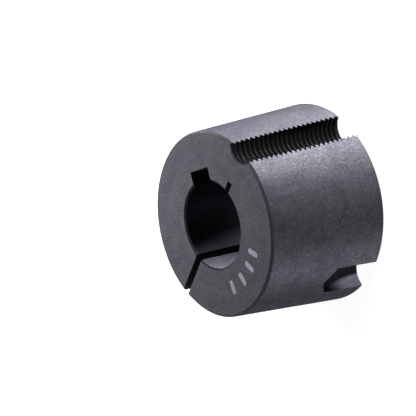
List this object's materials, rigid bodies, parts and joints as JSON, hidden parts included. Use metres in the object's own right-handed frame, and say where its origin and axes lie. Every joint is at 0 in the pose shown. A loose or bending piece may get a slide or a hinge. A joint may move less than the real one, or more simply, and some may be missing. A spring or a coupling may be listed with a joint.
{
  "type": "taper bush",
  "caption": "Split taper bush: a short cone with a keyed bore, one saw cut, and half screw holes along its outside.",
  "frame": {"origin": "centre of the large end, on the bore's axis, where the bush stands", "axes": "+Z along the bore towards the small end, +X towards the threaded half hole; the saw cut is at -X"},
  "size_m": [0.035, 0.035, 0.0234],
  "materials": {
    "phosphated_iron": "dark grey phosphated cast iron, fine grain, satin"
  },
  "bodies": {
    "root": {"taper_bush": "phosphated_iron"}
  },
  "joints": []
}
